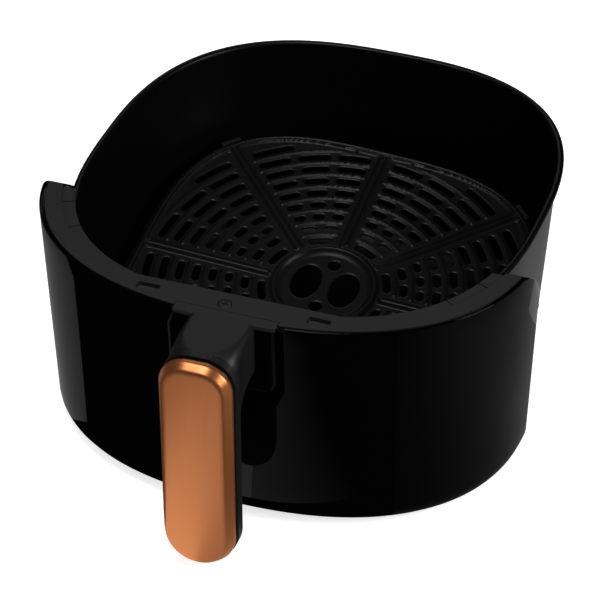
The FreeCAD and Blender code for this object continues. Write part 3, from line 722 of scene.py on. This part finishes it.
# ------------------------------------------------------------------ stage and light, in metres
def build_floor():
    """White ground that lights the part but is not mirrored in it."""
    mesh = bpy.data.meshes.new("floor")
    mesh.from_pydata([(-6, -6, 0), (6, -6, 0), (6, 6, 0), (-6, 6, 0)], [], [(0, 1, 2, 3)])
    floor = bpy.data.objects.new("floor", mesh)
    floor.location.z = -0.0003
    floor.visible_glossy = False
    scene.collection.objects.link(floor)
    mat = bpy.data.materials.new("floor_white")
    mat.use_nodes = True
    bsdf = mat.node_tree.nodes["Principled BSDF"]
    bsdf.inputs["Base Color"].default_value = (0.9, 0.9, 0.9, 1)
    bsdf.inputs["Roughness"].default_value = 0.9
    bsdf.inputs["Specular IOR Level"].default_value = 0.0
    bsdf.inputs["Emission Color"].default_value = (1, 1, 1, 1)
    bsdf.inputs["Emission Strength"].default_value = 0.72
    mesh.materials.append(mat)


def card(name, corners, near, far=None, near_at=-0.21, far_at=-0.40, way=(0, 1, 0)):
    """Glowing patch on the floor that only reflections see.

    Its strength goes from near to far while the distance along way goes from near_at to far_at.
    """
    mesh = bpy.data.meshes.new(name)
    mesh.from_pydata([(x, y, 0) for x, y in corners], [], [tuple(range(len(corners)))])
    obj = bpy.data.objects.new(name, mesh)
    obj.location.z = -0.0001
    scene.collection.objects.link(obj)
    obj.visible_camera = False
    obj.visible_diffuse = False
    obj.visible_shadow = False
    mat = bpy.data.materials.new(name + "_glow")
    mat.use_nodes = True
    nodes, links = mat.node_tree.nodes, mat.node_tree.links
    nodes.remove(nodes["Principled BSDF"])
    coords = nodes.new("ShaderNodeTexCoord")
    along = nodes.new("ShaderNodeVectorMath")
    along.operation = "DOT_PRODUCT"
    along.inputs[1].default_value = way
    links.new(coords.outputs["Object"], along.inputs[0])
    fade = nodes.new("ShaderNodeMapRange")
    fade.inputs["From Min"].default_value = far_at
    fade.inputs["From Max"].default_value = near_at
    fade.inputs["To Min"].default_value = near if far is None else far
    fade.inputs["To Max"].default_value = near
    links.new(along.outputs["Value"], fade.inputs["Value"])
    glow = nodes.new("ShaderNodeEmission")
    links.new(fade.outputs["Result"], glow.inputs["Strength"])
    links.new(glow.outputs["Emission"], nodes["Material Output"].inputs["Surface"])
    mesh.materials.append(mat)


def build_cards():
    card("card_grip", [(-0.10, -0.45), (-0.0585, -0.45), (0.0013, -0.19), (0.0082, -0.16),
                       (-0.04, -0.16)], 1.02, 0.46)
    card("card_glow", [(-0.0583, -0.45), (0.02, -0.45), (0.08, -0.18), (0.08, -0.16),
                       (0.0084, -0.16), (0.0015, -0.19)], 0.0, 0.6, 0.119, 0.028, (1, -0.23, 0))
    card("card_right", [(0.749, -0.9), (1.2, -0.9), (1.2, 0.0), (0.08, 0.0), (0.08, -0.12),
                        (0.0821, -0.12)], 0.22, 0.045, 0.117, -0.016, (0.76, 0.65, 0))
    card("card_back", [(0.1, 0.0002), (0.6, 0.0002), (0.6, 0.5), (0.2, 0.5), (0.2, 0.07),
                       (0.1, 0.07)], 0.21)
    card("card_pan", [(0.1, 0.0702), (0.1998, 0.0702), (0.1998, 0.5), (0.1, 0.5)], 0.45)
    card("card_left", [(-1.2, -0.125), (-0.12, -0.125), (-0.12, 0.6), (-1.2, 0.6)],
         0.13, 0.28, 0.1, -0.13)


def build_world():
    """Even white surroundings that light the part but are not mirrored in it."""
    world = bpy.data.worlds.new("studio")
    scene.world = world
    world.use_nodes = True
    world.node_tree.nodes["Background"].inputs["Color"].default_value = (1, 1, 1, 1)
    world.node_tree.nodes["Background"].inputs["Strength"].default_value = 0.45
    world.cycles_visibility.glossy = False


def area_light(name, at, toward, size_x, size_y, power):
    """Rectangular lamp at one place, aimed at another."""
    data = bpy.data.lights.new(name, "AREA")
    data.shape = "RECTANGLE"
    data.size, data.size_y = size_x, size_y
    data.energy = power
    obj = bpy.data.objects.new(name, data)
    scene.collection.objects.link(obj)
    obj.location = at
    aim = Vector(toward) - Vector(at)
    obj.rotation_euler = aim.to_track_quat("-Z", "Y").to_euler()


def build_lights():
    area_light("top_soft", (-0.2, -0.3, 1.5), (0, 0, 0.05), 0.6, 0.4, 6)
    area_light("back_soft", (-0.6, 1.7, 1.35), (0, 0, 0.1), 1.2, 0.4, 1.5)
    area_light("right_soft", (1.25, -0.1, 0.75), (0.05, 0, 0.07), 0.5, 0.5, 7)


# ------------------------------------------------------------------ camera, in millimetres
def build_camera():
    """Long lens from the front right, above the rim."""
    azimuth, elevation, roll = math.radians(19.8), math.radians(36.53), math.radians(-0.29)
    target = Vector((1.289, -37.55, 68.8))
    lens, distance = 188.34, 1786.568
    back = Vector((math.sin(azimuth) * math.cos(elevation), -math.cos(azimuth) * math.cos(elevation),
                   math.sin(elevation)))
    right = Vector((math.cos(azimuth), math.sin(azimuth), 0))
    up = back.cross(right)
    right, up = (right * math.cos(roll) + up * math.sin(roll),
                 up * math.cos(roll) - right * math.sin(roll))
    data = bpy.data.cameras.new("camera")
    data.sensor_width = 36.0
    data.lens = lens
    data.clip_end = 20
    camera = bpy.data.objects.new("camera", data)
    scene.collection.objects.link(camera)
    place = (target + back * distance) * MM
    camera.matrix_world = Matrix((
        (right.x, up.x, back.x, place.x), (right.y, up.y, back.y, place.y),
        (right.z, up.z, back.z, place.z), (0, 0, 0, 1)))
    scene.camera = camera


build_floor()
build_cards()
build_world()
build_lights()
build_camera()
